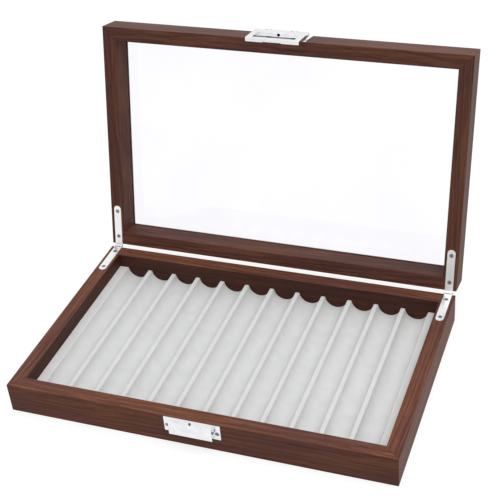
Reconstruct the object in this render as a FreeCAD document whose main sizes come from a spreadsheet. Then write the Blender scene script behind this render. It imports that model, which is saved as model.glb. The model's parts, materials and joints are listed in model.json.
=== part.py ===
import FreeCAD, Part
import os
import re
import Sketcher

# A collector's display box for pens: a shallow wooden case of mitred rails with a grooved,
# flocked tray, closed by a glazed wooden lid on two strip hinges and held shut by a hasp that
# drops over a block on the front and snaps onto a sprung catch. The lid stands open.
# Row frame: origin at the centre of the underside, X to the right, Y to the back, Z up.

# name, value in mm (or degrees, or a count), what it is
SIZES = [
    ("box_width", 330.0, "outside, left to right"),
    ("box_depth", 206.5, "outside, front to back"),
    ("base_height", 28.2, "underside to rim"),
    ("lid_height", 26.7, "mating face to the lid's top"),
    ("rail_thickness", 12.3, "wall of case and lid"),
    ("edge_ease", 0.7, "rounding along every rail"),
    ("seam_gap", 0.4, "between the closed lid and the rim"),
    ("open_angle", 103.0, "lid opening at its stop"),
    ("panel_thickness", 3.0, "bottom board"),
    ("panel_lap", 6.0, "how far the board reaches under the rails"),
    ("board_play", 0.3, "play around a board or pane in its rebate"),
    ("glass_thickness", 2.4, "lid pane"),
    ("glass_drop", 22.1, "mating face to the pane"),
    ("glass_lap", 5.0, "depth of the pane's groove"),
    ("glass_play", 0.1, "play over and under the pane"),
    ("tray_height", 12.2, "tray's underside to its ridges"),
    ("tray_play", 0.3, "tray to the walls"),
    ("groove_count", 12, "pen grooves"),
    ("groove_pitch", 24.3, "centre to centre"),
    ("groove_radius", 10.15, "round of a groove"),
    ("groove_floor", 2.5, "tray left under a groove"),
    ("ridge_ease", 0.8, "rounding of the ridges between the grooves"),
    ("hinge_inset", 6.5, "box side to the strip's centre line"),
    ("hinge_behind", 1.8, "back face to the hinge axis"),
    ("leaf_width", 7.0, "hinge strip"),
    ("leaf_length", 40.1, "hinge axis to the strip's round end"),
    ("leaf_thickness", 1.2, "hinge strip"),
    ("leaf_play", 0.1, "strip to the sides of its mortise"),
    ("barrel_radius", 1.5, "hinge knuckles"),
    ("knuckle_length", 2.4, "middle knuckle"),
    ("knuckle_gap", 0.2, "between knuckles"),
    ("barrel_gap", 0.4, "knuckle to the other leaf's strip"),
    ("hinge_pin_radius", 0.8, "hinge pin"),
    ("pin_clearance", 0.05, "running fit of every pin and plunger"),
    ("pin_proud", 0.4, "hinge pin past the barrel, each end"),
    ("screw_head_radius", 1.9, "countersunk head"),
    ("screw_head_depth", 1.0, "countersunk head"),
    ("screw_radius", 0.9, "shank"),
    ("screw_length", 8.0, "whole screw"),
    ("screw_play", 0.05, "screw in its hole"),
    ("point_length", 1.9, "tapered end of a screw"),
    ("point_radius", 0.2, "blunt tip of a screw"),
    ("cross_length", 2.5, "cross recess, end to end"),
    ("cross_width", 0.5, "cross recess"),
    ("cross_depth", 0.5, "cross recess"),
    ("screw_near", 9.5, "hinge axis to the near screw"),
    ("screw_far", 34.6, "hinge axis to the far screw"),
    ("ear_width", 5.5, "latch plates, past the block on each side"),
    ("plate_thickness", 1.0, "latch plates"),
    ("plate_height", 14.0, "plate on the case"),
    ("plate_below_rim", 0.9, "rim to the top of plate and block"),
    ("plate_screw_drop", 9.0, "rim to a screw of the case's plate"),
    ("block_width", 36.7, "raised block"),
    ("block_height", 12.8, "raised block"),
    ("block_proud", 5.9, "front face of the case to the block's face"),
    ("block_ease", 0.6, "rounding of the block"),
    ("side_hole_radius", 1.2, "hole in the block's side"),
    ("side_hole_depth", 3.0, "hole in the block's side"),
    ("side_hole_out", 2.6, "front face of the case to that hole"),
    ("side_hole_drop", 7.0, "rim to that hole"),
    ("catch_wall", 0.4, "block's face to the bore of the catch"),
    ("catch_radius", 0.9, "nose of the catch"),
    ("catch_ease", 0.3, "rounding of the nose"),
    ("catch_proud", 1.2, "nose above the block"),
    ("collar_radius", 1.1, "collar of the catch"),
    ("collar_length", 1.5, "collar of the catch"),
    ("mouth_length", 1.2, "block left above the collar"),
    ("catch_seat_gap", 0.05, "collar to the underside of that wall"),
    ("plug_length", 2.0, "plug under the spring"),
    ("spring_radius", 0.75, "centre line of the coil"),
    ("spring_wire_radius", 0.15, "spring wire"),
    ("spring_pitch", 1.1, "coil to coil"),
    ("spring_gap", 0.05, "spring ends to collar and plug"),
    ("lid_plate_height", 21.0, "plate on the lid"),
    ("lid_plate_rise", 0.8, "lid's mating face to its plate"),
    ("lid_screw_inset", 6.3, "plate's end to a screw of the lid's plate"),
    ("lid_screw_rise", 17.2, "lid's mating face to those screws"),
    ("hasp_axis_rise", 8.6, "lid's mating face to the hasp's pin"),
    ("hasp_side", 5.0, "side bars of the hasp"),
    ("hasp_foot", 4.4, "lower bar of the hasp"),
    ("hasp_thickness", 3.2, "hasp frame"),
    ("hasp_tilt", 4.4, "how far the hasp leans in at rest"),
    ("hasp_corner", 1.4, "rounding of the hasp's lower corners"),
    ("hasp_ease", 0.4, "rounding of the hasp's front edges"),
    ("window_play", 0.35, "block to the sides of the hasp's window"),
    ("window_end_play", 0.6, "block to the upper and lower walls of the window"),
    ("catch_hole_radius", 1.35, "hole for the catch in the upper wall"),
    ("catch_hole_depth", 5.0, "that hole"),
    ("nail_width", 16.0, "nail notch in the hasp's lower edge"),
    ("nail_height", 1.5, "nail notch, up from that edge"),
    ("nail_depth", 1.3, "nail notch"),
    ("lug_width", 4.0, "lugs that carry the hasp's pin"),
    ("lug_x", 11.4, "centre to a lug"),
    ("lug_radius", 1.9, "lugs around the pin"),
    ("lug_gap", 0.5, "lug to the hasp's slot"),
    ("hasp_pin_radius", 0.8, "hasp pin"),
    ("hasp_pin_short", 0.3, "pin end inside the hasp's side"),
]

V = FreeCAD.Vector
doc = FreeCAD.newDocument("pen_collector_chest")
os.makedirs("parts", exist_ok=True)

sheet = doc.addObject("Spreadsheet::Sheet", "Sizes")
for row, (alias, value, note) in enumerate(SIZES, start=1):
    sheet.set("A%d" % row, alias)
    sheet.set("B%d" % row, str(value))
    sheet.set("C%d" % row, note)
    sheet.setAlias("B%d" % row, alias)
doc.recompute()

# sizes that follow from the ones above, written in the sheet's own names
BASE_RIM = "base_height"
LID_FACE = "(base_height + seam_gap)"
HINGE_Y = "(box_depth / 2 + hinge_behind)"
HINGE_Z = "(base_height + seam_gap / 2)"
HINGE_X = "(box_width / 2 - hinge_inset)"
BLOCK_TOP = "(-plate_below_rim)"
BLOCK_FOOT = "(-plate_below_rim - block_height)"
BORE_TOP = "(-plate_below_rim - mouth_length)"
PIN_HOLE = "(hinge_pin_radius + pin_clearance)"
BORE = "(collar_radius + pin_clearance)"
STRIP_END = "(barrel_radius + barrel_gap)"
MORTISE_HALF = "(leaf_width / 2 + leaf_play)"
CATCH_OUT = "(block_proud - catch_wall - %s)" % BORE
PLATE_WIDTH = "(block_width + 2 * ear_width)"
PLATE_SCREW_X = "(block_width / 2 + ear_width / 2)"
LID_SCREW_X = "(%s / 2 - lid_screw_inset)" % PLATE_WIDTH
HASP_WIDTH = "(block_width + 2 * window_play + 2 * hasp_side)"
TO_BLOCK = "(hasp_axis_rise + seam_gap + plate_below_rim)"
WINDOW_TOP = "(%s - window_end_play)" % TO_BLOCK
WINDOW_BOTTOM = "(%s + block_height + window_end_play)" % TO_BLOCK
HASP_LENGTH = "(%s + hasp_foot)" % WINDOW_BOTTOM
HASP_OUT = "(%s + %s * sin(hasp_tilt))" % (CATCH_OUT, WINDOW_TOP)
INNER_WIDTH = "(box_width - 2 * rail_thickness)"
INNER_DEPTH = "(box_depth - 2 * rail_thickness)"
LID_SWING = ("placement(vector(0; 0; 0); rotation(vector(1; 0; 0); -open_angle);"
             " vector(0; %s; %s))" % (HINGE_Y, HINGE_Z))


def bound(text):
    """The expression with every size name pointed at the sheet."""
    return re.sub(r"\b([a-z]+(?:_[a-z]+)+)\b", r"Sizes.\1", str(text))


def bind(thing, **sizes):
    """Ties properties to expressions; a double underscore stands for a dot."""
    for name, text in sizes.items():
        thing.setExpression(name.replace("__", "."), bound(text))


def place(thing, x=0, y=0, z=0, axis="0; 0; 1", turn=0, on_lid=False):
    """Puts a piece in the row frame; lid pieces are given as for the closed lid and then swung open."""
    own = "placement(vector(%s; %s; %s); rotation(vector(%s); %s))" % (x, y, z, axis, turn)
    thing.setExpression("Placement", bound("%s * %s" % (LID_SWING, own) if on_lid else own))


def new_body(name):
    body = doc.addObject("PartDesign::Body", name)
    body.Label = name
    return body


def sketch(body, name, plane, lift=0):
    """A sketch on one of the body's own planes, moved along that plane's normal."""
    drawn = body.newObject("Sketcher::SketchObject", name)
    origin = [item for item in body.Origin.OriginFeatures if item.Role == plane + "_Plane"][0]
    drawn.AttachmentSupport = (origin, "")
    drawn.MapMode = "FlatFace"
    bind(drawn, AttachmentOffset__Base__z=lift)
    return drawn


def pin_point(drawn, geometry, point, x, y):
    for kind, text in (("DistanceX", x), ("DistanceY", y)):
        index = drawn.addConstraint(Sketcher.Constraint(kind, -1, 1, geometry, point, 1.0))
        drawn.setExpression("Constraints[%d]" % index, bound(text))


def outline(drawn, corners):
    """A closed outline through corners given as pairs of expressions."""
    unit = [V(1, 0, 0), V(1, 1, 0), V(0, 1, 0), V(-1, 1, 0), V(-1, 0, 0), V(-1, -1, 0)]
    count = len(corners)
    first = len(drawn.Geometry)
    for i in range(count):
        drawn.addGeometry(Part.LineSegment(unit[i], unit[(i + 1) % count]))
    for i, (x, y) in enumerate(corners):
        follow = first + (i + 1) % count
        drawn.addConstraint(Sketcher.Constraint("Coincident", first + i, 2, follow, 1))
        pin_point(drawn, first + i, 1, x, y)


def box_outline(drawn, x0, y0, x1, y1):
    outline(drawn, [(x0, y0), (x1, y0), (x1, y1), (x0, y1)])


def circle(drawn, x, y, radius):
    index = drawn.addGeometry(Part.Circle(V(0, 0, 0), V(0, 0, 1), 1.0))
    pin_point(drawn, index, 3, x, y)
    size = drawn.addConstraint(Sketcher.Constraint("Radius", index, 1.0))
    drawn.setExpression("Constraints[%d]" % size, bound(radius))


def pad(body, drawn, length, centred=False, reverse=False):
    made = body.newObject("PartDesign::Pad", drawn.Name + "_pad")
    made.Profile = (drawn, [""])
    made.Midplane = centred
    made.Reversed = reverse
    bind(made, Length=length)
    body.Tip = made
    doc.recompute()
    return made


def cut(body, drawn, length, centred=False, reverse=False):
    """Cuts against the sketch's normal, or along it when reversed."""
    before = body.Shape.Volume
    made = body.newObject("PartDesign::Pocket", drawn.Name + "_cut")
    made.Profile = (drawn, [""])
    made.Midplane = centred
    made.Reversed = reverse
    bind(made, Length=length)
    body.Tip = made
    doc.recompute()
    if made.Shape.Volume >= before:
        raise RuntimeError(made.Name + " cuts nothing")
    return made


def ease(body, radius, wanted):
    """Rounds the edges of the tip for which wanted(edge) holds."""
    tip = body.Tip
    names = ["Edge%d" % i for i, edge in enumerate(tip.Shape.Edges, start=1) if wanted(edge)]
    made = body.newObject("PartDesign::Fillet", "%s_%s" % (body.Name, "eased"))
    made.Base = (tip, names)
    bind(made, Radius=radius)
    body.Tip = made
    doc.recompute()
    return made


def size(alias):
    return float(sheet.get(alias))


def runs_along(edge, axis):
    """Whether a straight edge runs along the given axis."""
    if not isinstance(edge.Curve, Part.Line):
        return False
    return abs(abs(edge.Curve.Direction.dot(axis)) - 1.0) < 1e-6


def level_with(value, target):
    return abs(value - target) < 1e-4


# ---------------------------------------------------------------- case and lid rails

def rail(name, length, height):
    """A mitred rail: X along its outer face from the left end, Y into the box, Z up."""
    body = new_body(name)
    plan = sketch(body, name + "_plan", "XY")
    outline(plan, [("0", "0"), (length, "0"), (length + " - rail_thickness", "rail_thickness"),
                   ("rail_thickness", "rail_thickness")])
    pad(body, plan, height)
    return body


def ease_rail(body, top_only_inside):
    """Rounds a rail's long edges; the inside foot stays sharp where a board is let in."""
    inside = size("rail_thickness")

    def wanted(edge):
        if not runs_along(edge, V(1, 0, 0)):
            return False
        middle = edge.CenterOfMass
        return not (top_only_inside and level_with(middle.y, inside) and level_with(middle.z, 0))

    ease(body, "edge_ease", wanted)


def long_slot(body, name, low, high, depth, length):
    """A slot along the whole inner face of a rail, from Z low to Z high."""
    drawn = sketch(body, name, "YZ")
    box_outline(drawn, "rail_thickness - " + depth, low, "rail_thickness", high)
    cut(body, drawn, length, reverse=True)


def base_rail(name, length):
    body = rail(name, length, "base_height")
    ease_rail(body, True)
    long_slot(body, name + "_rebate", "0", "panel_thickness", "panel_lap", length)
    return body


def lid_rail(name, length):
    body = rail(name, length, "lid_height")
    ease_rail(body, False)
    long_slot(body, name + "_groove", "glass_drop - glass_play",
              "glass_drop + glass_thickness + glass_play", "glass_lap", length)
    return body


def mortise(body, name, upper, box, end=None):
    """Lets a hinge strip into the mating face of a rail: a straight slot and a round end."""
    level = "0" if upper else "base_height"
    drawn = sketch(body, name, "XY", level)
    box_outline(drawn, *box)
    cut(body, drawn, "leaf_thickness", reverse=upper)
    if end:
        drawn = sketch(body, name + "_end", "XY", level)
        circle(drawn, end[0], end[1], MORTISE_HALF)
        cut(body, drawn, "leaf_thickness", reverse=upper)


def pilot_holes(body, name, plane, lift, spots, reverse=False):
    drawn = sketch(body, name, plane, lift)
    for x, y in spots:
        circle(drawn, x, y, "screw_radius + screw_play")
    cut(body, drawn, "screw_length", reverse=reverse)


def side_rail(name, upper, left):
    """The two side rails: each carries a hinge strip at its back end."""
    body = (lid_rail if upper else base_rail)(name, "box_depth")
    reach = "(leaf_length - hinge_behind - leaf_width / 2)"
    low, high = "hinge_inset - " + MORTISE_HALF, "hinge_inset + " + MORTISE_HALF
    if left:
        box, end = ("-leaf_width", low, reach, high), (reach, "hinge_inset")
        spots = [("screw_near - hinge_behind", "hinge_inset"), ("screw_far - hinge_behind", "hinge_inset")]
    else:
        box = ("box_depth - " + reach, low, "box_depth + leaf_width", high)
        end = ("box_depth - " + reach, "hinge_inset")
        spots = [("box_depth + hinge_behind - screw_near", "hinge_inset"),
                 ("box_depth + hinge_behind - screw_far", "hinge_inset")]
    mortise(body, name + "_mortise", upper, box, end)
    pilot_holes(body, name + "_pilots", "XY", "0" if upper else "base_height", spots, reverse=upper)
    return body


def back_rail(name, upper):
    """The back rails: both hinge strips cross their ends."""
    body = (lid_rail if upper else base_rail)(name, "box_width")
    for end, centre in (("right", "hinge_inset"), ("left", "box_width - hinge_inset")):
        box = ("%s - %s" % (centre, MORTISE_HALF), "-leaf_width",
               "%s + %s" % (centre, MORTISE_HALF), "rail_thickness + leaf_width")
        mortise(body, "%s_mortise_%s" % (name, end), upper, box)
    spots = [(centre, "screw_near - hinge_behind") for centre in ("hinge_inset", "box_width - hinge_inset")]
    pilot_holes(body, name + "_pilots", "XY", "0" if upper else "base_height", spots, reverse=upper)
    return body


def front_rail(name, upper):
    """The front rails: their outer faces carry the latch plates."""
    body = (lid_rail if upper else base_rail)(name, "box_width")
    across = LID_SCREW_X if upper else PLATE_SCREW_X
    level = "lid_screw_rise" if upper else "base_height - plate_screw_drop"
    spots = [("box_width / 2 - " + across, level), ("box_width / 2 + " + across, level)]
    pilot_holes(body, name + "_pilots", "XZ", "0", spots)
    return body


half_width, half_depth = "box_width / 2", "box_depth / 2"
for part, upper, level in (("base", False, "0"), ("lid", True, LID_FACE)):
    place(front_rail(part + "_front_rail", upper), "-" + half_width, "-" + half_depth, level,
          on_lid=upper)
    place(side_rail(part + "_right_rail", upper, False), half_width, "-" + half_depth, level,
          turn=90, on_lid=upper)
    place(back_rail(part + "_back_rail", upper), half_width, half_depth, level,
          turn=180, on_lid=upper)
    place(side_rail(part + "_left_rail", upper, True), "-" + half_width, half_depth, level,
          turn=-90, on_lid=upper)


# ---------------------------------------------------------------- board, tray and pane

def board(name, wide, deep, thick):
    """A flat rectangular piece, centred, standing on Z 0."""
    body = new_body(name)
    plan = sketch(body, name + "_plan", "XY")
    box_outline(plan, "-%s / 2" % wide, "-%s / 2" % deep, "%s / 2" % wide, "%s / 2" % deep)
    pad(body, plan, thick)
    return body


place(board("bottom_panel", "(%s + 2 * panel_lap - 2 * board_play)" % INNER_WIDTH,
            "(%s + 2 * panel_lap - 2 * board_play)" % INNER_DEPTH, "panel_thickness"))

tray = board("pen_tray", "(%s - 2 * tray_play)" % INNER_WIDTH, "(%s - 2 * tray_play)" % INNER_DEPTH,
             "tray_height")
first_groove = sketch(tray, "first_groove", "XZ")
circle(first_groove, "-(groove_count - 1) * groove_pitch / 2", "groove_floor + groove_radius",
       "groove_radius")
groove = cut(tray, first_groove, "box_depth", centred=True)
grooves = tray.newObject("PartDesign::LinearPattern", "grooves")
grooves.Originals = [groove]
grooves.Direction = (first_groove, ["H_Axis"])
bind(grooves, Length="(groove_count - 1) * groove_pitch", Occurrences="groove_count")
tray.Tip = grooves
doc.recompute()
tray_side = size("box_width") / 2 - size("rail_thickness") - size("tray_play")
ease(tray, "ridge_ease", lambda edge: runs_along(edge, V(0, 1, 0))
     and level_with(edge.CenterOfMass.z, size("tray_height"))
     and not level_with(abs(edge.CenterOfMass.x), tray_side))
place(tray, z="panel_thickness")

pane = board("lid_glass", "(%s + 2 * glass_lap - 2 * board_play)" % INNER_WIDTH,
             "(%s + 2 * glass_lap - 2 * board_play)" % INNER_DEPTH, "glass_thickness")
place(pane, z=LID_FACE + " + glass_drop", on_lid=True)


# ---------------------------------------------------------------- hinges

def countersink(body, name, x, y, z, facing_up=True, outward=False):
    """A conical seat for a screw head whose flat top lies at the given point."""
    made = body.newObject("PartDesign::SubtractiveCone", name)
    origin = [item for item in body.Origin.OriginFeatures if item.Role == "XY_Plane"][0]
    made.AttachmentSupport = (origin, "")
    made.MapMode = "FlatFace"
    turn = "180" if facing_up else "0"
    turn = "-90" if outward else turn
    bind(made, Radius1="screw_head_radius + screw_play", Radius2="screw_radius + screw_play",
         Height="screw_head_depth + screw_play",
         AttachmentOffset="placement(vector(%s; %s; %s); rotation(vector(1; 0; 0); %s))" % (x, y, z, turn))
    body.Tip = made
    doc.recompute()


def hinge_leaf(name, upper):
    """A strip with its knuckles: X across, Y to the back, origin on the hinge axis."""
    body = new_body(name)
    face = "seam_gap / 2" if upper else "(-seam_gap / 2)"
    far = "(leaf_length - leaf_width / 2)"
    back = "(-seam_gap / 2 - leaf_thickness)"
    strip = sketch(body, name + "_strip", "XY", face)
    box_outline(strip, "-leaf_width / 2", "-" + far, "leaf_width / 2", "-" + STRIP_END)
    pad(body, strip, "leaf_thickness", reverse=not upper)
    tip = sketch(body, name + "_tip", "XY", face)
    circle(tip, "0", "-" + far, "leaf_width / 2")
    pad(body, tip, "leaf_thickness", reverse=not upper)
    across = "knuckle_length" if upper else "leaf_width"
    low, high = ("seam_gap / 2", "seam_gap / 2 + leaf_thickness") if upper else (back, "-seam_gap / 2")
    root = sketch(body, name + "_root", "YZ")
    box_outline(root, "-%s - leaf_thickness" % STRIP_END, low, "0", high)
    pad(body, root, across, centred=True)
    knuckle = sketch(body, name + "_knuckle", "YZ")
    circle(knuckle, "0", "0", "barrel_radius")
    pad(body, knuckle, across, centred=True)
    if not upper:
        gap = sketch(body, name + "_gap", "YZ")
        reach = "(barrel_radius + leaf_thickness)"
        box_outline(gap, "-" + STRIP_END, "-" + reach, reach, reach)
        cut(body, gap, "knuckle_length + 2 * knuckle_gap", centred=True)
    bore = sketch(body, name + "_bore", "YZ")
    circle(bore, "0", "0", PIN_HOLE)
    cut(body, bore, "2 * leaf_width", centred=True)
    holes = sketch(body, name + "_holes", "XY")
    for spot in ("screw_near", "screw_far"):
        circle(holes, "0", "-" + spot, "screw_radius + screw_play")
    cut(body, holes, "4 * leaf_thickness", centred=True)
    for spot in ("screw_near", "screw_far"):
        countersink(body, "%s_%s_seat" % (name, spot), "0", "-" + spot, face, facing_up=not upper)
    return body


for part, upper in (("base", False), ("lid", True)):
    for hand, side in (("left", "-"), ("right", "")):
        place(hinge_leaf("hinge_%s_leaf_%s" % (part, hand), upper), side + HINGE_X, HINGE_Y, HINGE_Z,
              on_lid=upper)


def primitive(kind, name, **sizes):
    made = doc.addObject(kind, name)
    bind(made, **sizes)
    return made


def boolean(kind, name, base, tool):
    made = doc.addObject(kind, name)
    made.Base, made.Tool = base, tool
    return made


def group(name, pieces):
    """Identical pieces that share one node."""
    made = doc.addObject("Part::Compound", name)
    made.Label = name
    made.Links = pieces
    return made


def rod(name, x, y, z, radius, length):
    """A round rod along X, centred on the point."""
    made = primitive("Part::Cylinder", name, Radius=radius, Height=length)
    place(made, "%s - %s / 2" % (x, length), y, z, "0; 1; 0", "90")
    return made


PIN_LENGTH = "(leaf_width + 2 * pin_proud)"
group("hinge_pins", [rod("hinge_pin_" + hand, side + HINGE_X, HINGE_Y, HINGE_Z,
                         "hinge_pin_radius", PIN_LENGTH) for hand, side in (("left", "-"), ("right", ""))])


def screw(name, x, y, z, turn):
    """A countersunk wood screw with a cross recess; its head faces +Z before the turn about X."""
    head = primitive("Part::Cone", name + "_head", Radius1="screw_radius",
                     Radius2="screw_head_radius", Height="screw_head_depth")
    bind(head, Placement__Base__z="-screw_head_depth")
    stem = primitive("Part::Cylinder", name + "_stem", Radius="screw_radius",
                     Height="screw_length - screw_head_depth - point_length")
    bind(stem, Placement__Base__z="point_length - screw_length")
    point = primitive("Part::Cone", name + "_point", Radius1="point_radius",
                      Radius2="screw_radius", Height="point_length")
    bind(point, Placement__Base__z="-screw_length")
    whole = boolean("Part::Fuse", name + "_whole",
                    boolean("Part::Fuse", name + "_upper", head, stem), point)
    recess = []
    for way, (wide, deep) in enumerate((("cross_length", "cross_width"),
                                        ("cross_width", "cross_length"))):
        slot = primitive("Part::Box", "%s_slot%d" % (name, way), Length=wide, Width=deep,
                         Height="2 * cross_depth")
        bind(slot, Placement__Base__x="-%s / 2" % wide, Placement__Base__y="-%s / 2" % deep,
             Placement__Base__z="-cross_depth")
        recess.append(slot)
    made = boolean("Part::Cut", name, whole, boolean("Part::Fuse", name + "_cross", *recess))
    place(made, x, y, z, "1; 0; 0", turn)
    return made


for part, level, turn in (("base", BASE_RIM, "0"), ("lid", LID_FACE, "180")):
    screws = [screw("hinge_%s_screw_%s_%s" % (part, hand, spot), side + HINGE_X,
                    "%s - screw_%s" % (HINGE_Y, spot), level, turn)
              for hand, side in (("left", "-"), ("right", "")) for spot in ("near", "far")]
    place(group("hinge_%s_screws" % part, screws), on_lid=part == "lid")


# ---------------------------------------------------------------- latch on the case
# Latch bodies stand on a front face: X along it, Y into the wood, Z up from the rim.

def ease_front(body, radius, proud):
    """Rounds the straight edges that bound the face at the given distance out."""
    ease(body, radius, lambda edge: level_with(edge.CenterOfMass.y, -proud)
         and isinstance(edge.Curve, Part.Line))


housing = new_body("latch_housing")
face_plan = sketch(housing, "housing_block", "XZ")
box_outline(face_plan, "-block_width / 2", BLOCK_FOOT, "block_width / 2", BLOCK_TOP)
pad(housing, face_plan, "block_proud")
ease_front(housing, "block_ease", size("block_proud"))
ears = sketch(housing, "housing_plate", "XZ")
box_outline(ears, "-%s / 2" % PLATE_WIDTH, "-plate_below_rim - plate_height", PLATE_WIDTH + " / 2",
            "-plate_below_rim")
pad(housing, ears, "plate_thickness")
ear_holes = sketch(housing, "housing_holes", "XZ")
for side in ("-", ""):
    circle(ear_holes, side + PLATE_SCREW_X, "-plate_screw_drop", "screw_radius + screw_play")
cut(housing, ear_holes, "4 * plate_thickness", centred=True)
for hand, side in (("left", "-"), ("right", "")):
    countersink(housing, "housing_seat_" + hand, side + PLATE_SCREW_X, "-plate_thickness",
                "-plate_screw_drop", outward=True)
side_hole = sketch(housing, "housing_side_hole", "YZ", "block_width / 2")
circle(side_hole, "-side_hole_out", "-side_hole_drop", "side_hole_radius")
cut(housing, side_hole, "side_hole_depth")
mouth = sketch(housing, "housing_mouth", "XY", BLOCK_TOP)
circle(mouth, "0", "-" + CATCH_OUT, "catch_radius + pin_clearance")
cut(housing, mouth, "2 * mouth_length")
bore = sketch(housing, "housing_bore", "XY", BORE_TOP)
circle(bore, "0", "-" + CATCH_OUT, BORE)
cut(housing, bore, "block_height")
place(housing, y="-" + half_depth, z=BASE_RIM)

screws = [screw("latch_base_screw_" + hand, side + PLATE_SCREW_X, "-plate_thickness",
                "-plate_screw_drop", "90") for hand, side in (("left", "-"), ("right", ""))]
place(group("latch_base_screws", screws), y="-" + half_depth, z=BASE_RIM)

# the sprung catch: its origin is on its axis at the level of the rim
COLLAR_TOP = "(%s - catch_seat_gap)" % BORE_TOP
COLLAR_FOOT = "(%s - collar_length)" % COLLAR_TOP
PLUG_TOP = "(%s + plug_length)" % BLOCK_FOOT
NOSE_TOP = "(catch_proud - plate_below_rim)"
catch = new_body("latch_catch")
collar = sketch(catch, "catch_collar", "XY", COLLAR_FOOT)
circle(collar, "0", "0", "collar_radius")
pad(catch, collar, "collar_length")
nose = sketch(catch, "catch_nose", "XY", COLLAR_FOOT)
circle(nose, "0", "0", "catch_radius")
pad(catch, nose, "%s - %s" % (NOSE_TOP, COLLAR_FOOT))
ease(catch, "catch_ease",
     lambda edge: level_with(edge.CenterOfMass.z, size("catch_proud") - size("plate_below_rim")))
place(catch, y="-%s - %s" % (half_depth, CATCH_OUT), z=BASE_RIM)

plug = new_body("latch_plug")
plug_plan = sketch(plug, "plug_plan", "XY", BLOCK_FOOT)
circle(plug_plan, "0", "0", BORE)
pad(plug, plug_plan, "plug_length")
place(plug, y="-%s - %s" % (half_depth, CATCH_OUT), z=BASE_RIM)

COIL = "(%s - %s - 2 * spring_gap - 2 * spring_wire_radius)" % (COLLAR_FOOT, PLUG_TOP)
coil = primitive("Part::Helix", "spring_line", Pitch="spring_pitch", Height=COIL, Radius="spring_radius")
wire = primitive("Part::Circle", "spring_wire", Radius="spring_wire_radius",
                 Placement__Base__x="spring_radius")
wire.Placement.Rotation = FreeCAD.Rotation(V(1, 0, 0), 90)
spring = doc.addObject("Part::Sweep", "latch_spring")
spring.Label = "latch_spring"
spring.Sections = [wire]
spring.Spine = (coil, ["Edge1"])
spring.Solid = True
spring.Frenet = True
place(spring, y="-%s - %s" % (half_depth, CATCH_OUT),
      z="%s + %s + spring_gap + spring_wire_radius" % (BASE_RIM, PLUG_TOP))


# ---------------------------------------------------------------- latch on the lid

lid_plate = new_body("latch_lid_plate")
plate = sketch(lid_plate, "lid_plate_plan", "XZ")
box_outline(plate, "-%s / 2" % PLATE_WIDTH, "lid_plate_rise", PLATE_WIDTH + " / 2",
            "lid_plate_rise + lid_plate_height")
pad(lid_plate, plate, "plate_thickness")
for hand, side in (("left", "-"), ("right", "")):
    foot = sketch(lid_plate, "lug_%s" % hand, "YZ", side + "lug_x")
    box_outline(foot, "-" + HASP_OUT, "hasp_axis_rise - lug_radius", "-plate_thickness / 2",
                "hasp_axis_rise + lug_radius")
    pad(lid_plate, foot, "lug_width", centred=True)
    eye = sketch(lid_plate, "lug_eye_%s" % hand, "YZ", side + "lug_x")
    circle(eye, "-" + HASP_OUT, "hasp_axis_rise", "lug_radius")
    pad(lid_plate, eye, "lug_width", centred=True)
lug_bore = sketch(lid_plate, "lug_bore", "YZ")
circle(lug_bore, "-" + HASP_OUT, "hasp_axis_rise", "hasp_pin_radius + pin_clearance")
cut(lid_plate, lug_bore, PLATE_WIDTH, centred=True)
lid_holes = sketch(lid_plate, "lid_plate_holes", "XZ")
for side in ("-", ""):
    circle(lid_holes, side + LID_SCREW_X, "lid_screw_rise", "screw_radius + screw_play")
cut(lid_plate, lid_holes, "4 * plate_thickness", centred=True)
for hand, side in (("left", "-"), ("right", "")):
    countersink(lid_plate, "lid_plate_seat_" + hand, side + LID_SCREW_X, "-plate_thickness",
                "lid_screw_rise", outward=True)
place(lid_plate, y="-" + half_depth, z=LID_FACE, on_lid=True)

screws = [screw("latch_lid_screw_" + hand, side + LID_SCREW_X, "-plate_thickness", "lid_screw_rise",
                "90") for hand, side in (("left", "-"), ("right", ""))]
place(group("latch_lid_screws", screws), y="-" + half_depth, z=LID_FACE, on_lid=True)

# the hasp: a frame whose window drops over the block; its origin is on its pin
hasp = new_body("latch_hasp")
frame = sketch(hasp, "hasp_frame", "XZ")
box_outline(frame, "-%s / 2" % HASP_WIDTH, "-" + HASP_LENGTH, HASP_WIDTH + " / 2", "0")
pad(hasp, frame, "hasp_thickness", centred=True)
FRONT = -size("hasp_thickness") / 2
ease(hasp, "hasp_corner", lambda edge: runs_along(edge, V(0, 1, 0)) and edge.CenterOfMass.z < FRONT)
ease(hasp, "hasp_ease", lambda edge: level_with(edge.CenterOfMass.y, FRONT)
     and edge.CenterOfMass.z < FRONT)
barrel = sketch(hasp, "hasp_barrel", "YZ")
circle(barrel, "0", "0", "hasp_thickness / 2")
pad(hasp, barrel, HASP_WIDTH, centred=True)
window = sketch(hasp, "hasp_window", "XZ")
WINDOW_HALF = "(block_width / 2 + window_play)"
box_outline(window, "-" + WINDOW_HALF, "-" + WINDOW_BOTTOM, WINDOW_HALF, "-" + WINDOW_TOP)
cut(hasp, window, "2 * hasp_thickness", centred=True)
WALL = size("block_width") / 2 + size("window_play")
ease(hasp, "hasp_ease", lambda edge: level_with(edge.CenterOfMass.y, FRONT)
     and (level_with(edge.Length, 2 * WALL) or level_with(abs(edge.CenterOfMass.x), WALL)))
for hand, side in (("left", "-"), ("right", "")):
    slot = sketch(hasp, "hasp_slot_" + hand, "YZ", side + "lug_x")
    box_outline(slot, "-hasp_thickness", "-lug_radius - lug_gap", "hasp_thickness", "hasp_thickness")
    cut(hasp, slot, "lug_width + 2 * lug_gap", centred=True)
hasp_bore = sketch(hasp, "hasp_bore", "YZ")
circle(hasp_bore, "0", "0", "hasp_pin_radius + pin_clearance")
cut(hasp, hasp_bore, "2 * " + HASP_WIDTH, centred=True)
catch_hole = sketch(hasp, "hasp_catch_hole", "XY", "-" + WINDOW_TOP)
circle(catch_hole, "0", "0", "catch_hole_radius")
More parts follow.
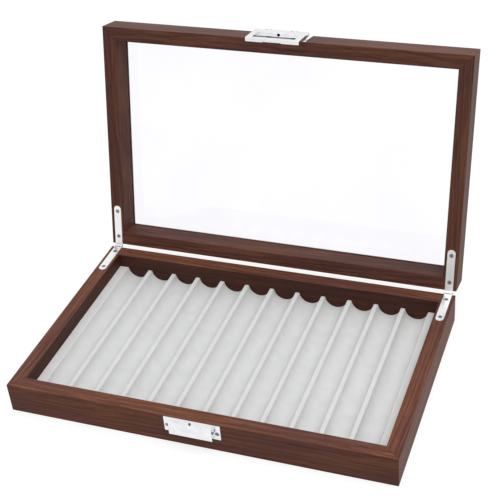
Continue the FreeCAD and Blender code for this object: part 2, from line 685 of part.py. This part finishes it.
cut(hasp, catch_hole, "catch_hole_depth", reverse=True)
nail = sketch(hasp, "hasp_nail_notch", "XZ", "-hasp_thickness / 2")
box_outline(nail, "-nail_width / 2", "-%s - hasp_foot" % HASP_LENGTH, "nail_width / 2",
            "-%s + nail_height" % HASP_LENGTH)
cut(hasp, nail, "nail_depth", reverse=True)
place(hasp, y="-%s - %s" % (half_depth, HASP_OUT), z=LID_FACE + " + hasp_axis_rise",
      axis="1; 0; 0", turn="hasp_tilt", on_lid=True)

HASP_PIN_LENGTH = "(%s - 2 * hasp_pin_short)" % HASP_WIDTH
place(group("hasp_pin", [rod("hasp_pin_rod", "0", "0", "0", "hasp_pin_radius", HASP_PIN_LENGTH)]),
      y="-%s - %s" % (half_depth, HASP_OUT), z=LID_FACE + " + hasp_axis_rise", on_lid=True)


# ---------------------------------------------------------------- check and write

NODES = ["%s_%s_rail" % (part, side) for part in ("base", "lid")
         for side in ("front", "right", "back", "left")]
NODES += ["bottom_panel", "pen_tray", "lid_glass", "hinge_pins", "hinge_base_screws", "hinge_lid_screws"]
NODES += ["hinge_%s_leaf_%s" % (part, hand) for part in ("base", "lid") for hand in ("left", "right")]
NODES += ["latch_housing", "latch_base_screws", "latch_catch", "latch_plug", "latch_spring",
          "latch_lid_plate", "latch_lid_screws", "latch_hasp", "hasp_pin"]

doc.recompute()
for item in doc.Objects:
    if {"Invalid", "Error"} & set(item.State):
        raise RuntimeError("%s did not build: %s" % (item.Name, item.State))
for node in NODES:
    shape = doc.getObject(node).Shape
    if shape.isNull() or not shape.isValid() or not shape.Solids:
        raise RuntimeError(node + " has no valid solid")
    shape.exportStep("parts/%s.step" % node)
    print("%-22s %2d solid(s) %10.2f mm3" % (node, len(shape.Solids), shape.Volume))
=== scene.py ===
import json
import math

import bmesh
import bpy
from mathutils import Matrix, Vector


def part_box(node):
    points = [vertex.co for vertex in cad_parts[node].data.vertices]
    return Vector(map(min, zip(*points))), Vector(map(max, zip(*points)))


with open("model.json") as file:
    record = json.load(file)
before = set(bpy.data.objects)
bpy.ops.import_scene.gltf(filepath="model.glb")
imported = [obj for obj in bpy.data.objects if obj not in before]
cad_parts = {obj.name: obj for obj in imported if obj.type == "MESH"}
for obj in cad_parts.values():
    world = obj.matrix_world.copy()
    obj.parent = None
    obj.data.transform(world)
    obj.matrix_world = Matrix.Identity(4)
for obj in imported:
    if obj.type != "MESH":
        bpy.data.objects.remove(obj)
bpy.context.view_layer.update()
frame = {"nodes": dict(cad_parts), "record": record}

# A collector's display box for pens in lacquered walnut: a case with a grooved, flocked tray, and
# a glazed lid that stands open on two strip hinges. Metres; X to the right, Y to the back, Z up.

nodes = frame["nodes"]
joints = {joint["name"]: joint for joint in frame["record"]["behaviour"]["joints"]}

MM = 0.001                              # in metres
PER_METRE = 1000.0                      # millimetres, in which every pattern is scaled

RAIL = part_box("base_front_rail")[1][1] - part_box("base_front_rail")[0][1]     # a rail's thickness
CASE_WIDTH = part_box("base_front_rail")[1][0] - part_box("base_front_rail")[0][0]
CASE_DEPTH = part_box("base_right_rail")[1][1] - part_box("base_right_rail")[0][1]
RIDGE_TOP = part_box("pen_tray")[1][2]    # of the ridges between the pens
OPEN_ANGLE = math.radians(joints["lid_hinge"]["range_deg"][1])
HINGE = Vector(joints["lid_hinge"]["pos_m"])


# ---------------------------------------------------------------- common ground

def linear(hex_code):
    """An sRGB hex colour as the linear RGBA that a shader takes."""
    channels = [int(hex_code[i:i + 2], 16) / 255 for i in (1, 3, 5)]
    return [c / 12.92 if c <= 0.04045 else ((c + 0.055) / 1.055) ** 2.4 for c in channels] + [1.0]


def add(tree, kind, inputs=(), stops=(), **settings):
    """Adds one node: its settings, its inputs as values or as outputs to link, and a ramp's stops.

    A socket goes by its name, or by its number where several share one name. In a Mix, 0 is the
    share of the second input, 2 and 3 are numbers and come out at 0, 6 and 7 are colours and come
    out at 2.
    """
    node = tree.nodes.new("ShaderNode" + kind)
    for name, value in settings.items():
        setattr(node, name, value)
    for socket, value in dict(inputs).items():
        if isinstance(value, bpy.types.NodeSocket):
            tree.links.new(value, node.inputs[socket])
        else:
            node.inputs[socket].default_value = value
    if stops:
        ramp = node.color_ramp.elements
        while len(ramp) < len(stops):
            ramp.new(1.0)
        for element, (place, colour) in zip(ramp, stops):
            element.position = place
            element.color = linear(colour)
    return node


def new_material(name):
    """A material with an empty node tree, and that tree."""
    material = bpy.data.materials.new(name)
    material.use_nodes = True
    material.node_tree.nodes.clear()
    return material, material.node_tree


def surfaced(material, shader):
    """The material, with this shader as its surface."""
    tree = material.node_tree
    output = add(tree, "OutputMaterial")
    tree.links.new(shader.outputs[0], output.inputs["Surface"])
    return material


def place_in_mm(tree, turn=(0.0, 0.0, 0.0), shift=(0.0, 0.0, 0.0)):
    """Where a point of the piece lies, in mm, turned and then shifted."""
    here = add(tree, "TexCoord").outputs["Object"]
    return add(tree, "Mapping", {"Vector": here, "Location": shift, "Rotation": turn,
                                 "Scale": (PER_METRE,) * 3}).outputs[0]


def stretched_noise(tree, place, along, across, detail=2.0, roughness=0.5):
    """Noise whose grains measure along by across, in mm; place is a position in mm."""
    squeezed = add(tree, "VectorMath", {0: place, 1: (1 / along, 1 / across, 1 / across)},
                   operation="MULTIPLY").outputs[0]
    return add(tree, "TexNoise", {"Vector": squeezed, "Scale": 1.0, "Detail": detail,
                                  "Roughness": roughness})


def painted_hollow_shade(tree, depth, lit, unlit, share):
    """Painted shade: up to that share where a hollow about that deep, in mm, shuts out the light.

    It starts where the open sky over a point falls to lit, and is full at unlit.
    """
    sky = add(tree, "AmbientOcclusion", {"Distance": depth * MM}, samples=8).outputs["AO"]
    return add(tree, "MapRange", {"Value": sky, "From Min": lit, "From Max": unlit,
                                  "To Max": share}).outputs[0]


# ---------------------------------------------------------------- walnut; lengths in mm

CASE_WALNUT = {"light": "#865643", "middle": "#683e2f", "dark": "#422015",
               "greyed": "#51302d", "amber": "#764829"}
LID_WALNUT = {"light": "#774c3b", "middle": "#5b3628", "dark": "#391a0e",     # from a darker log
              "greyed": "#472926", "amber": "#643b24"}
FILLED_GRAIN = "#2a1712"                # pores and joint lines, filled with stain
PAINTED_INSIDE_SHADE = "#2e120a"                # painted shade on the case's inner faces
CUT = (0.0, 46.0, -58.0)                # where the case's middle lies in the log, from its pith
NEXT_CUT = (410.0, 9.0, -13.0)          # how far on the next rails were cut
LEAN = math.radians(1.6)                # of the grain, against a rail's length
SLANT = math.radians(1.1)               # of the grain in a front or back rail
RING_WIDTH = 3.9                        # growth ring, across the grain
YEARS = 0.09                            # how fast wide and narrow rings change places, per mm
UNEVEN = 4.0                            # how far that moves a ring
BEND = (120.0, 34.0)                    # length and width of a bend in the grain
WANDER = 4.2                            # how far the grain leaves the straight in it
STREAK = (85.0, 1.5)                    # dark and light streaks
FIBRE = (26.0, 0.7)                     # fibres, coarser than life so that they show
PORE = (9.0, 0.5)                       # open pores, coarser than life so that they show
PORE_EDGE = (0.6, 0.68)                 # strength of the pores' noise where one starts and is open
PORE_DEPTH = 0.05
CLOUD = (150.0, 20.0)                   # slow change of tone along a board
MITRE_LINE = 0.3                        # width of the joint line at a corner
INSIDE_SHADE_MARGIN = 0.15                    # by which the painted inside shade reaches into a wall
FIBRE_SHARE = 0.35                      # of fibres against streaks
STRAND_SHARE = 0.68                     # of fibres and streaks against growth rings
GREYED_SHARE = 0.6                      # most that a cloud greys the wood
AMBER_SHARE = 0.3                       # most that a cloud warms it
FILLED_SHARE = 0.45                     # how dark the stain in pores and joints is
INSIDE_SHADE_SHARE = 0.72                     # how dark the painted shade on the inner faces is
LACQUER_ROUGHNESS = (0.5, 0.65)         # satin; duller where the fibres stand up
LACQUER_SHEEN = 0.2                     # less than a gloss lacquer mirrors


def growth_rings(tree, log, walnut):
    """Bands round the pith, wide and narrow years in turn: light early wood, dark late wood."""
    cross = add(tree, "VectorMath", {0: log, 1: (0, 1, 1)}, operation="MULTIPLY").outputs[0]
    radius = add(tree, "VectorMath", {0: cross}, operation="LENGTH").outputs["Value"]
    years = add(tree, "TexNoise", {"W": radius, "Scale": YEARS, "Detail": 1.0},
                noise_dimensions="1D").outputs["Fac"]
    uneven = add(tree, "Math", {0: years, 1: UNEVEN, 2: radius}, operation="MULTIPLY_ADD").outputs[0]
    count = add(tree, "Math", {0: uneven, 1: RING_WIDTH}, operation="DIVIDE").outputs[0]
    ring = add(tree, "Math", {0: count}, operation="FRACT").outputs[0]
    return add(tree, "ValToRGB", {"Fac": ring}, stops=[
        (0.0, walnut["middle"]), (0.22, walnut["light"]), (0.55, walnut["middle"]),
        (0.88, walnut["dark"]), (1.0, walnut["middle"])]).outputs["Color"]


def clouded(tree, log, ground, walnut):
    """The ground, drifting slowly to a greyed and to an amber tone along the board."""
    cloud = stretched_noise(tree, log, *CLOUD).outputs["Fac"]
    for edge, heart, share, tone in ((0.42, 0.68, GREYED_SHARE, "greyed"),
                                     (0.52, 0.34, AMBER_SHARE, "amber")):
        drift = add(tree, "MapRange", {"Value": cloud, "From Min": edge, "From Max": heart,
                                       "To Max": share}).outputs[0]
        ground = add(tree, "Mix", {0: drift, 6: ground, 7: linear(walnut[tone])},
                     data_type="RGBA").outputs[2]
    return ground


def mitre_line(tree, sides):
    """The joint line across a corner, at 45 degrees, fading out to each side over its width."""
    across = add(tree, "Math", {0: sides.outputs["X"], 1: sides.outputs["Y"]}, operation="SUBTRACT")
    offset = add(tree, "Math", {0: across.outputs[0], 1: (CASE_WIDTH - CASE_DEPTH) / 2 * PER_METRE},
                 operation="SUBTRACT")
    distance = add(tree, "Math", {0: offset.outputs[0]}, operation="ABSOLUTE").outputs[0]
    return add(tree, "MapRange", {"Value": distance, "From Max": MITRE_LINE * math.sqrt(2),
                                  "To Min": FILLED_SHARE, "To Max": 0.0}).outputs[0]


def inside_shade_mask(tree, sides):
    """Share of painted shade: the inside share on the faces that look into the case, and 0 on the
    others.
    """
    share = INSIDE_SHADE_SHARE
    for axis, size in (("X", CASE_WIDTH), ("Y", CASE_DEPTH)):
        wall = (size / 2 - RAIL) * PER_METRE + INSIDE_SHADE_MARGIN
        within = add(tree, "Math", {0: sides.outputs[axis], 1: wall}, operation="LESS_THAN")
        share = add(tree, "Math", {0: within.outputs[0], 1: share}, operation="MULTIPLY").outputs[0]
    return share


def lacquered_walnut(name, on_lid, along_side, board):
    """Dark walnut under satin lacquer: drifting growth rings, short dark pores, a soft sheen.

    Every rail is its own board, cut elsewhere from the log, with the grain along the rail. The
    pattern lies in the shut box, so that it runs over the corners of case and lid alike.
    """
    material, tree = new_material(name)
    walnut = LID_WALNUT if on_lid else CASE_WALNUT
    swing = OPEN_ANGLE if on_lid else 0.0
    shut = place_in_mm(tree, (swing, 0, 0),
                       (HINGE - Matrix.Rotation(swing, 3, "X") @ HINGE) * PER_METRE)
    cut = (CUT[0] + NEXT_CUT[0] * board, CUT[1] + NEXT_CUT[1] * (board % 3),
           CUT[2] + NEXT_CUT[2] * (board % 4))
    log = add(tree, "Mapping", {"Vector": shut, "Location": cut, "Rotation": (
        0, LEAN, LEAN - math.radians(90) if along_side else SLANT)}).outputs[0]
    bend = stretched_noise(tree, log, *BEND).outputs["Color"]
    bent = add(tree, "VectorMath", {0: bend, 1: (0, 2 * WANDER, 2 * WANDER), 2: log},
               operation="MULTIPLY_ADD").outputs[0]
    rings = growth_rings(tree, bent, walnut)
    fibre = stretched_noise(tree, bent, *FIBRE, detail=3.0, roughness=0.6).outputs["Fac"]
    streak = stretched_noise(tree, bent, *STREAK).outputs["Fac"]
    strand = add(tree, "Mix", {0: FIBRE_SHARE, 2: streak, 3: fibre}).outputs[0]
    strands = add(tree, "ValToRGB", {"Fac": strand}, stops=[
        (0.37, walnut["dark"]), (0.5, walnut["middle"]), (0.64, walnut["light"])]).outputs["Color"]
    ground = add(tree, "Mix", {0: STRAND_SHARE, 6: rings, 7: strands}, data_type="RGBA").outputs[2]
    pores = stretched_noise(tree, log, *PORE, detail=1.0).outputs["Fac"]
    pore = add(tree, "MapRange", {"Value": pores, "From Min": PORE_EDGE[0],
                                  "From Max": PORE_EDGE[1]}).outputs[0]
    filled = add(tree, "Math", {0: pore, 1: FILLED_SHARE}, operation="MULTIPLY").outputs[0]
    tone = add(tree, "Mix", {0: filled, 6: clouded(tree, log, ground, walnut),
                             7: linear(FILLED_GRAIN)}, data_type="RGBA").outputs[2]
    from_middle = add(tree, "VectorMath", {0: shut}, operation="ABSOLUTE").outputs[0]
    sides = add(tree, "SeparateXYZ", {0: from_middle})
    tone = add(tree, "Mix", {0: mitre_line(tree, sides), 6: tone, 7: linear(FILLED_GRAIN)},
               data_type="RGBA").outputs[2]
    # painted shade on the case's inner faces
    if not on_lid:
        tone = add(tree, "Mix", {0: inside_shade_mask(tree, sides), 6: tone, 7: linear(PAINTED_INSIDE_SHADE)},
                   data_type="RGBA").outputs[2]
    rough = add(tree, "MapRange", {"Value": fibre, "To Min": LACQUER_ROUGHNESS[0],
                                   "To Max": LACQUER_ROUGHNESS[1]}).outputs[0]
    relief = add(tree, "Math", {0: pore, 1: -1.0, 2: fibre}, operation="MULTIPLY_ADD").outputs[0]
    bump = add(tree, "Bump", {"Height": relief, "Strength": 0.25, "Distance": PORE_DEPTH * MM})
    return surfaced(material, add(tree, "BsdfPrincipled", {
        "Base Color": tone, "Roughness": rough, "Normal": bump.outputs[0],
        "Specular IOR Level": LACQUER_SHEEN}))


# ---------------------------------------------------------------- the other materials; lengths in mm

FIGURE = (60.0, 1.6)                    # the grain of the stained board
HAIR = (0.7, 0.7)                       # flock, coarser than life so that it shows
NAP = (9.0, 9.0)                        # where the brush laid the flock another way
RIDGE_HIGHLIGHT = (2.0, 0.5)                      # below the ridges' tops, where the painted highlight begins and is full
RIDGE_HIGHLIGHT_SHARE = 0.25                      # how light the painted highlight gets
WIPE = (70.0, 70.0)                     # what a cloth leaves on glass
HAZE = (6.0, 6.0)                       # in the chrome
BRUSH = (30.0, 0.9)                     # lines in the nickel, coarser than life so that they show
TOOL_MARK = (0.8, 0.8)                  # on turned steel
DEEP_HOLLOW = 6.0                       # hollows this deep get painted shade in the chrome
FINE_HOLLOW = 2.5                       # a screw's slot, a countersink, the gap between knuckles; painted shade in nickel and steel


def stained_board(name):
    """Thin board stained dark: a flat brown with a faint straight figure, matt."""
    material, tree = new_material(name)
    figure = stretched_noise(tree, place_in_mm(tree), *FIGURE, detail=3.0).outputs["Fac"]
    tone = add(tree, "ValToRGB", {"Fac": figure}, stops=[(0.3, "#3a241d"), (0.7, "#523429")])
    bump = add(tree, "Bump", {"Height": figure, "Strength": 0.3, "Distance": 0.1 * MM})
    return surfaced(material, add(tree, "BsdfPrincipled", {
        "Base Color": tone.outputs["Color"], "Roughness": 0.7, "Normal": bump.outputs[0],
        "Specular IOR Level": 0.2}))


def grey_flock(name):
    """Short pale flock, blown on and brushed: dead matt, with a painted highlight on its ridges."""
    material, tree = new_material(name)
    place = place_in_mm(tree)
    hair = stretched_noise(tree, place, *HAIR).outputs["Fac"]
    nap = stretched_noise(tree, place, *NAP).outputs["Fac"]
    fine = add(tree, "ValToRGB", {"Fac": hair}, stops=[(0.3, "#cecfce"), (0.7, "#e1e2e1")])
    brushed = add(tree, "ValToRGB", {"Fac": nap}, stops=[(0.35, "#d3d4d4"), (0.65, "#dddedd")])
    tone = add(tree, "Mix", {0: 0.5, 6: fine.outputs["Color"], 7: brushed.outputs["Color"]},
               data_type="RGBA").outputs[2]
    height = add(tree, "SeparateXYZ", {0: place}).outputs["Z"]
    ridge = RIDGE_TOP * PER_METRE
    # painted highlight: the ridge tops mixed toward the paler #ecebea by height
    ridge_highlight = add(tree, "MapRange", {"Value": height, "From Min": ridge - RIDGE_HIGHLIGHT[0],
                                   "From Max": ridge - RIDGE_HIGHLIGHT[1], "To Max": RIDGE_HIGHLIGHT_SHARE}).outputs[0]
    tone = add(tree, "Mix", {0: ridge_highlight, 6: tone, 7: linear("#ecebea")}, data_type="RGBA").outputs[2]
    bump = add(tree, "Bump", {"Height": hair, "Strength": 0.4, "Distance": 0.15 * MM})
    return surfaced(material, add(tree, "BsdfPrincipled", {
        "Base Color": tone, "Roughness": 0.95, "Normal": bump.outputs[0],
        "Specular IOR Level": 0.1, "Sheen Weight": 0.25, "Sheen Roughness": 0.5}))


def anti_reflection_glass(name):
    """A clear bloomed pane: a faint cool cast, and only a ghost of what it mirrors."""
    material, tree = new_material(name)
    wiped = stretched_noise(tree, place_in_mm(tree), *WIPE).outputs["Fac"]
    rough = add(tree, "MapRange", {"Value": wiped, "To Min": 0.0, "To Max": 0.02}).outputs[0]
    cast = add(tree, "ValToRGB", {"Fac": wiped}, stops=[(0.3, "#f7f7fb"), (0.7, "#fafafd")])
    pane = add(tree, "BsdfPrincipled", {
        "Base Color": cast.outputs["Color"], "Roughness": rough, "IOR": 1.5,
        "Transmission Weight": 1.0, "Specular IOR Level": 0.3, "Specular Tint": linear("#9a9a9a")})
    clear = add(tree, "BsdfTransparent", {"Color": linear("#f4f5f7")})
    lamp_ray = add(tree, "LightPath").outputs["Is Shadow Ray"]
    return surfaced(material, add(tree, "MixShader", {0: lamp_ray, 1: pane.outputs[0],
                                                      2: clear.outputs[0]}))


def bright_chrome(name):
    """Die-cast latch metal under bright chrome plating, with painted shade in its hollows, which are
    also rougher.
    """
    material, tree = new_material(name)
    haze = stretched_noise(tree, place_in_mm(tree), *HAZE, detail=3.0).outputs["Fac"]
    polished = add(tree, "MapRange", {"Value": haze, "To Min": 0.08, "To Max": 0.2}).outputs[0]
    bright = add(tree, "ValToRGB", {"Fac": haze}, stops=[(0.3, "#e2e3e6"), (0.7, "#eeeff1")])
    # painted shade in the hollows, mixed into the colour; the hollows are also rougher
    hollow_shade = painted_hollow_shade(tree, DEEP_HOLLOW, lit=0.5, unlit=0.15, share=0.95)
    tone = add(tree, "Mix", {0: hollow_shade, 6: bright.outputs["Color"], 7: linear("#2b2b2e")},
               data_type="RGBA").outputs[2]
    rough = add(tree, "Mix", {0: hollow_shade, 2: polished, 3: 0.5}).outputs[0]
    return surfaced(material, add(tree, "BsdfPrincipled", {
        "Base Color": tone, "Metallic": 1.0, "Roughness": rough}))


def satin_nickel(name, on_lid=False):
    """Hinge strip under white nickel: milky, brushed lengthwise, with a broad soft gleam."""
    material, tree = new_material(name)
    lengthwise = place_in_mm(tree, (OPEN_ANGLE if on_lid else 0.0, 0, math.radians(-90)))
    lines = stretched_noise(tree, lengthwise, *BRUSH, detail=1.0).outputs["Fac"]
    rough = add(tree, "MapRange", {"Value": lines, "To Min": 0.28, "To Max": 0.36}).outputs[0]
    bright = add(tree, "ValToRGB", {"Fac": lines}, stops=[(0.3, "#efefef"), (0.7, "#f8f8f8")])
    # painted shade in the hollows, mixed into the colour
    hollow_shade = painted_hollow_shade(tree, FINE_HOLLOW, lit=0.8, unlit=0.35, share=0.9)
    tone = add(tree, "Mix", {0: hollow_shade, 6: bright.outputs["Color"], 7: linear("#3a3a3d")},
               data_type="RGBA").outputs[2]
    return surfaced(material, add(tree, "BsdfPrincipled", {
        "Base Color": tone, "Metallic": 0.85, "Roughness": rough}))


def turned_steel(name, deep="#8c8c8f", pale="#aaaaad"):
    """Steel of screws, pins and the darker catch: greyer than the plating, painted shade in recesses."""
    material, tree = new_material(name)
    marks = stretched_noise(tree, place_in_mm(tree), *TOOL_MARK).outputs["Fac"]
    rough = add(tree, "MapRange", {"Value": marks, "To Min": 0.25, "To Max": 0.45}).outputs[0]
    turned = add(tree, "ValToRGB", {"Fac": marks}, stops=[(0.3, deep), (0.7, pale)])
    # painted shade in the recesses, mixed into the colour
    hollow_shade = painted_hollow_shade(tree, FINE_HOLLOW, lit=0.9, unlit=0.45, share=0.9)
    tone = add(tree, "Mix", {0: hollow_shade, 6: turned.outputs["Color"], 7: linear("#1d1d1f")},
               data_type="RGBA").outputs[2]
    return surfaced(material, add(tree, "BsdfPrincipled", {
        "Base Color": tone, "Metallic": 1.0, "Roughness": rough}))


# ---------------------------------------------------------------- which piece has which finish

def finish(material, *names):
    """Gives the named pieces one material."""
    for name in names:
        mesh = nodes[name].data
        mesh.materials.clear()
        mesh.materials.append(material)


def finish_case_and_lid():
    """Each rail from its own board, the bottom board, the tray and the pane."""
    rails = [(part, side) for part in ("base", "lid") for side in ("front", "right", "back", "left")]
    for board, (part, side) in enumerate(rails, start=1):
        name = "%s_%s_rail" % (part, side)
        finish(lacquered_walnut("walnut_" + name, part == "lid", side in ("left", "right"), board), name)
    finish(stained_board("stained_board"), "bottom_panel")
    finish(grey_flock("grey_flock"), "pen_tray")
    finish(anti_reflection_glass("anti_reflection_glass"), "lid_glass")


def finish_metalwork():
    """Plated latch and hinges, and the plain steel that holds and moves them."""
    finish(bright_chrome("bright_chrome"), "latch_housing", "latch_lid_plate", "latch_hasp")
    finish(satin_nickel("satin_nickel_case"), "hinge_base_leaf_left", "hinge_base_leaf_right")
    finish(satin_nickel("satin_nickel_lid", on_lid=True), "hinge_lid_leaf_left",
           "hinge_lid_leaf_right")
    finish(turned_steel("turned_steel"), "hinge_pins", "hinge_base_screws", "hinge_lid_screws",
           "latch_base_screws", "latch_lid_screws", "hasp_pin")
    # the catch, plug and spring in a darker steel
    finish(turned_steel("darker_steel", "#47474a", "#606064"), "latch_catch", "latch_plug",
           "latch_spring")


# ---------------------------------------------------------------- studio; lengths in metres

FLOOR_SIDE = 12.0
FLOOR_DROP = 0.1 * MM                   # keeps the floor clear of the underside
FLOOR_TONE = "#949494"                  # what takes the shadow; the glow lifts it to white
FLOOR_TONE_FOR_LIGHT = "#8f8f8f"        # what the floor throws back on to the box
FLOOR_GLOW = 0.77
SWEEP = (0.5, 1.3)                      # from the box, where the paper runs out into plain white
SKY_ON_OBJECT = 0.64                    # even light from all round
KEY_PLACE = (0.4, -0.15, 1.6)
KEY_AIM = (0.0, 0.0, 0.08)
KEY_SIDE = 1.6
KEY_WATTS = 15.0


def seen_directly(tree):
    """1 for rays from the eye, a mirror or glass, which should meet the white studio."""
    ray = add(tree, "LightPath")
    mirror = add(tree, "Math", {0: ray.outputs["Is Camera Ray"], 1: ray.outputs["Is Glossy Ray"]},
                 operation="MAXIMUM")
    return add(tree, "Math", {0: mirror.outputs[0], 1: ray.outputs["Is Transmission Ray"]},
               operation="MAXIMUM").outputs[0]


def white_paper(name):
    """Studio paper: white to the eye, keeping a soft shadow, and plain grey-white to other light."""
    material, tree = new_material(name)
    to_light = add(tree, "BsdfDiffuse", {"Color": linear(FLOOR_TONE_FOR_LIGHT)})
    shade = add(tree, "BsdfDiffuse", {"Color": linear(FLOOR_TONE)})
    glow = add(tree, "Emission", {"Color": linear("#ffffff"), "Strength": FLOOR_GLOW})
    close_by = add(tree, "AddShader", {0: shade.outputs[0], 1: glow.outputs[0]})
    here = add(tree, "TexCoord").outputs["Object"]
    away = add(tree, "VectorMath", {0: here}, operation="LENGTH").outputs["Value"]
    far = add(tree, "MapRange", {"Value": away, "From Min": SWEEP[0], "From Max": SWEEP[1]}).outputs[0]
    white = add(tree, "Emission", {"Color": linear("#ffffff"), "Strength": 1.0})
    to_eye = add(tree, "MixShader", {0: far, 1: close_by.outputs[0], 2: white.outputs[0]})
    return surfaced(material, add(tree, "MixShader", {0: seen_directly(tree), 1: to_light.outputs[0],
                                                      2: to_eye.outputs[0]}))


def lay_floor():
    """A sheet of paper under the box, far wider than the picture."""
    mesh = bpy.data.meshes.new("floor")
    shape = bmesh.new()
    bmesh.ops.create_grid(shape, x_segments=1, y_segments=1, size=FLOOR_SIDE / 2)
    shape.to_mesh(mesh)
    shape.free()
    floor = bpy.data.objects.new("floor", mesh)
    floor.location.z = -FLOOR_DROP
    bpy.context.scene.collection.objects.link(floor)
    mesh.materials.append(white_paper("white_paper"))


def light_the_sky():
    """Even light on the box from all round, and plain white behind it."""
    world = bpy.data.worlds.new("studio")
    world.use_nodes = True
    tree = world.node_tree
    tree.nodes.clear()
    even = add(tree, "Background", {"Color": linear("#ffffff"), "Strength": SKY_ON_OBJECT})
    white = add(tree, "Background", {"Color": linear("#ffffff"), "Strength": 1.0})
    mixed = add(tree, "MixShader", {0: seen_directly(tree), 1: even.outputs[0], 2: white.outputs[0]})
    output = add(tree, "OutputWorld")
    tree.links.new(mixed.outputs[0], output.inputs["Surface"])
    bpy.context.scene.world = world


def hang_softbox():
    """One large soft lamp overhead, to the right, which shades the grooves."""
    lamp = bpy.data.lights.new("key_softbox", "AREA")
    lamp.size, lamp.energy = KEY_SIDE, KEY_WATTS
    softbox = bpy.data.objects.new("key_softbox", lamp)
    softbox.location = KEY_PLACE
    softbox.rotation_euler = (Vector(KEY_AIM) - Vector(KEY_PLACE)).to_track_quat("-Z", "Y").to_euler()
    bpy.context.scene.collection.objects.link(softbox)


# ---------------------------------------------------------------- camera

CAMERA_PLACE = (0.3102, -0.6988, 0.6438)
CAMERA_TURN = math.radians(-22.75)      # about Z; 0 looks along +Y
CAMERA_TILT = math.radians(36.02)       # below the horizon
CAMERA_ROLL = math.radians(-5.41)
SENSOR = 36.0                           # width, in mm
LENS = 83.48                            # in mm
LENS_SHIFT = 0.06                       # of the sensor's width, upwards


def set_camera():
    """The camera, from its place, turn, tilt and roll."""
    data = bpy.data.cameras.new("camera")
    data.sensor_width, data.lens, data.shift_y = SENSOR, LENS, LENS_SHIFT
    camera = bpy.data.objects.new("camera", data)
    ahead = Vector((math.sin(CAMERA_TURN) * math.cos(CAMERA_TILT),
                    math.cos(CAMERA_TURN) * math.cos(CAMERA_TILT), -math.sin(CAMERA_TILT)))
    level = Vector((math.cos(CAMERA_TURN), -math.sin(CAMERA_TURN), 0))
    above = level.cross(ahead)
    right = level * math.cos(CAMERA_ROLL) + above * math.sin(CAMERA_ROLL)
    up = above * math.cos(CAMERA_ROLL) - level * math.sin(CAMERA_ROLL)
    stand = Matrix((right, up, -ahead)).transposed().to_4x4()
    stand.translation = CAMERA_PLACE
    camera.matrix_world = stand
    bpy.context.scene.collection.objects.link(camera)
    bpy.context.scene.camera = camera


finish_case_and_lid()
finish_metalwork()
lay_floor()
light_the_sky()
hang_softbox()
set_camera()
bpy.context.scene.view_settings.view_transform = "Standard"
